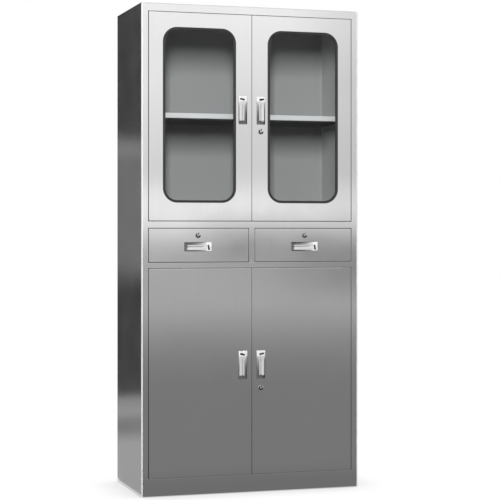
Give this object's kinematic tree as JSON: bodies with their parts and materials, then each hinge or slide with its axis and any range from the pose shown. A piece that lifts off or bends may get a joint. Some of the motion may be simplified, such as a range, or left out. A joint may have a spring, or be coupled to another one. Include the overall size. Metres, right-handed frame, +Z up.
{
  "type": "glass door medical cabinet",
  "caption": "Tall stainless steel medical cabinet with glazed doors above, drawers across the middle and plain doors below; recessed pulls and cam locks, doors swing on hidden pins.",
  "frame": {"origin": "on the floor under the middle of the cabinet", "axes": "+Z up, -Y out of the front, +X to the viewer's right"},
  "size_m": [0.84, 0.4031, 1.8],
  "materials": {
    "stainless_steel": "satin folded sheet",
    "chrome": "bright plated",
    "black_rubber": "black moulded strip",
    "window_glass": "clear"
  },
  "bodies": {
    "cabinet": {"left_side_panel": "stainless_steel", "right_side_panel": "stainless_steel", "top_panel": "stainless_steel", "base_panel": "stainless_steel", "back_panel": "stainless_steel", "upper_deck": "stainless_steel", "lower_deck": "stainless_steel", "drawer_divider": "stainless_steel", "upper_shelf": "stainless_steel", "lower_shelf": "stainless_steel", "upper_left_shelf_bearer": "stainless_steel", "upper_right_shelf_bearer": "stainless_steel", "lower_left_shelf_bearer": "stainless_steel", "lower_right_shelf_bearer": "stainless_steel", "left_drawer_outer_runner": "stainless_steel", "left_drawer_inner_runner": "stainless_steel", "right_drawer_outer_runner": "stainless_steel", "right_drawer_inner_runner": "stainless_steel", "upper_left_top_pin": "stainless_steel", "upper_left_foot_pin": "stainless_steel", "upper_right_top_pin": "stainless_steel", "upper_right_foot_pin": "stainless_steel", "lower_left_top_pin": "stainless_steel", "lower_left_foot_pin": "stainless_steel", "lower_right_top_pin": "stainless_steel", "lower_right_foot_pin": "stainless_steel"},
    "upper_left_door": {"upper_left_door_frame": "stainless_steel", "upper_left_window_seal": "black_rubber", "upper_left_window_glass": "window_glass", "upper_left_pull": "chrome"},
    "lower_left_door": {"lower_left_door_panel": "stainless_steel", "lower_left_door_stiffener": "stainless_steel", "lower_left_pull": "chrome"},
    "upper_right_door": {"upper_right_door_frame": "stainless_steel", "upper_right_window_seal": "black_rubber", "upper_right_window_glass": "window_glass", "upper_right_pull": "chrome", "upper_right_lock_body": "chrome"},
    "lower_right_door": {"lower_right_door_panel": "stainless_steel", "lower_right_door_stiffener": "stainless_steel", "lower_right_pull": "chrome", "lower_right_lock_body": "chrome"},
    "left_drawer": {"left_drawer_front": "stainless_steel", "left_drawer_tray": "stainless_steel", "left_drawer_pull": "chrome", "left_drawer_lock_body": "chrome"},
    "right_drawer": {"right_drawer_front": "stainless_steel", "right_drawer_tray": "stainless_steel", "right_drawer_pull": "chrome", "right_drawer_lock_body": "chrome"},
    "upper_right_lock": {"upper_right_lock_plug": "chrome", "upper_right_lock_cam": "stainless_steel"},
    "lower_right_lock": {"lower_right_lock_plug": "chrome", "lower_right_lock_cam": "stainless_steel"},
    "left_drawer_lock": {"left_drawer_lock_plug": "chrome", "left_drawer_lock_cam": "stainless_steel"},
    "right_drawer_lock": {"right_drawer_lock_plug": "chrome", "right_drawer_lock_cam": "stainless_steel"},
    "upper_left_bolt": {"upper_left_door_bolt": "stainless_steel"},
    "lower_left_bolt": {"lower_left_door_bolt": "stainless_steel"}
  },
  "joints": [
    {"name": "upper_left_door_hinge", "type": "hinge", "parent": "cabinet", "child": "upper_left_door", "pos_m": [-0.3826, -0.193, 1.0059], "axis": [0, 0, -1], "range_deg": [0, 110]},
    {"name": "upper_right_door_hinge", "type": "hinge", "parent": "cabinet", "child": "upper_right_door", "pos_m": [0.3826, -0.193, 1.0059], "axis": [0, 0, 1], "range_deg": [0, 110]},
    {"name": "lower_left_door_hinge", "type": "hinge", "parent": "cabinet", "child": "lower_left_door", "pos_m": [-0.3826, -0.193, 0.0679], "axis": [0, 0, -1], "range_deg": [0, 110]},
    {"name": "lower_right_door_hinge", "type": "hinge", "parent": "cabinet", "child": "lower_right_door", "pos_m": [0.3826, -0.193, 0.0679], "axis": [0, 0, 1], "range_deg": [0, 110]},
    {"name": "left_drawer_slide", "type": "slide", "parent": "cabinet", "child": "left_drawer", "axis": [0, -1, 0], "range_m": [0, 0.25]},
    {"name": "right_drawer_slide", "type": "slide", "parent": "cabinet", "child": "right_drawer", "axis": [0, -1, 0], "range_m": [0, 0.25]},
    {"name": "upper_right_lock_turn", "type": "hinge", "parent": "upper_right_door", "child": "upper_right_lock", "pos_m": [0.035, -0.2, 1.338], "axis": [0, 1, 0], "range_deg": [0, 90]},
    {"name": "lower_right_lock_turn", "type": "hinge", "parent": "lower_right_door", "child": "lower_right_lock", "pos_m": [0.035, -0.2, 0.3865], "axis": [0, 1, 0], "range_deg": [0, 90]},
    {"name": "left_drawer_lock_turn", "type": "hinge", "parent": "left_drawer", "child": "left_drawer_lock", "pos_m": [-0.20688, -0.2, 0.953], "axis": [0, 1, 0], "range_deg": [0, 90]},
    {"name": "right_drawer_lock_turn", "type": "hinge", "parent": "right_drawer", "child": "right_drawer_lock", "pos_m": [0.20688, -0.2, 0.953], "axis": [0, 1, 0], "range_deg": [0, 90]},
    {"name": "upper_left_bolt_slide", "type": "slide", "parent": "upper_left_door", "child": "upper_left_bolt", "axis": [0, 0, 1], "range_m": [0, 0.012]},
    {"name": "lower_left_bolt_slide", "type": "slide", "parent": "lower_left_door", "child": "lower_left_bolt", "axis": [0, 0, 1], "range_m": [0, 0.012]}
  ]
}
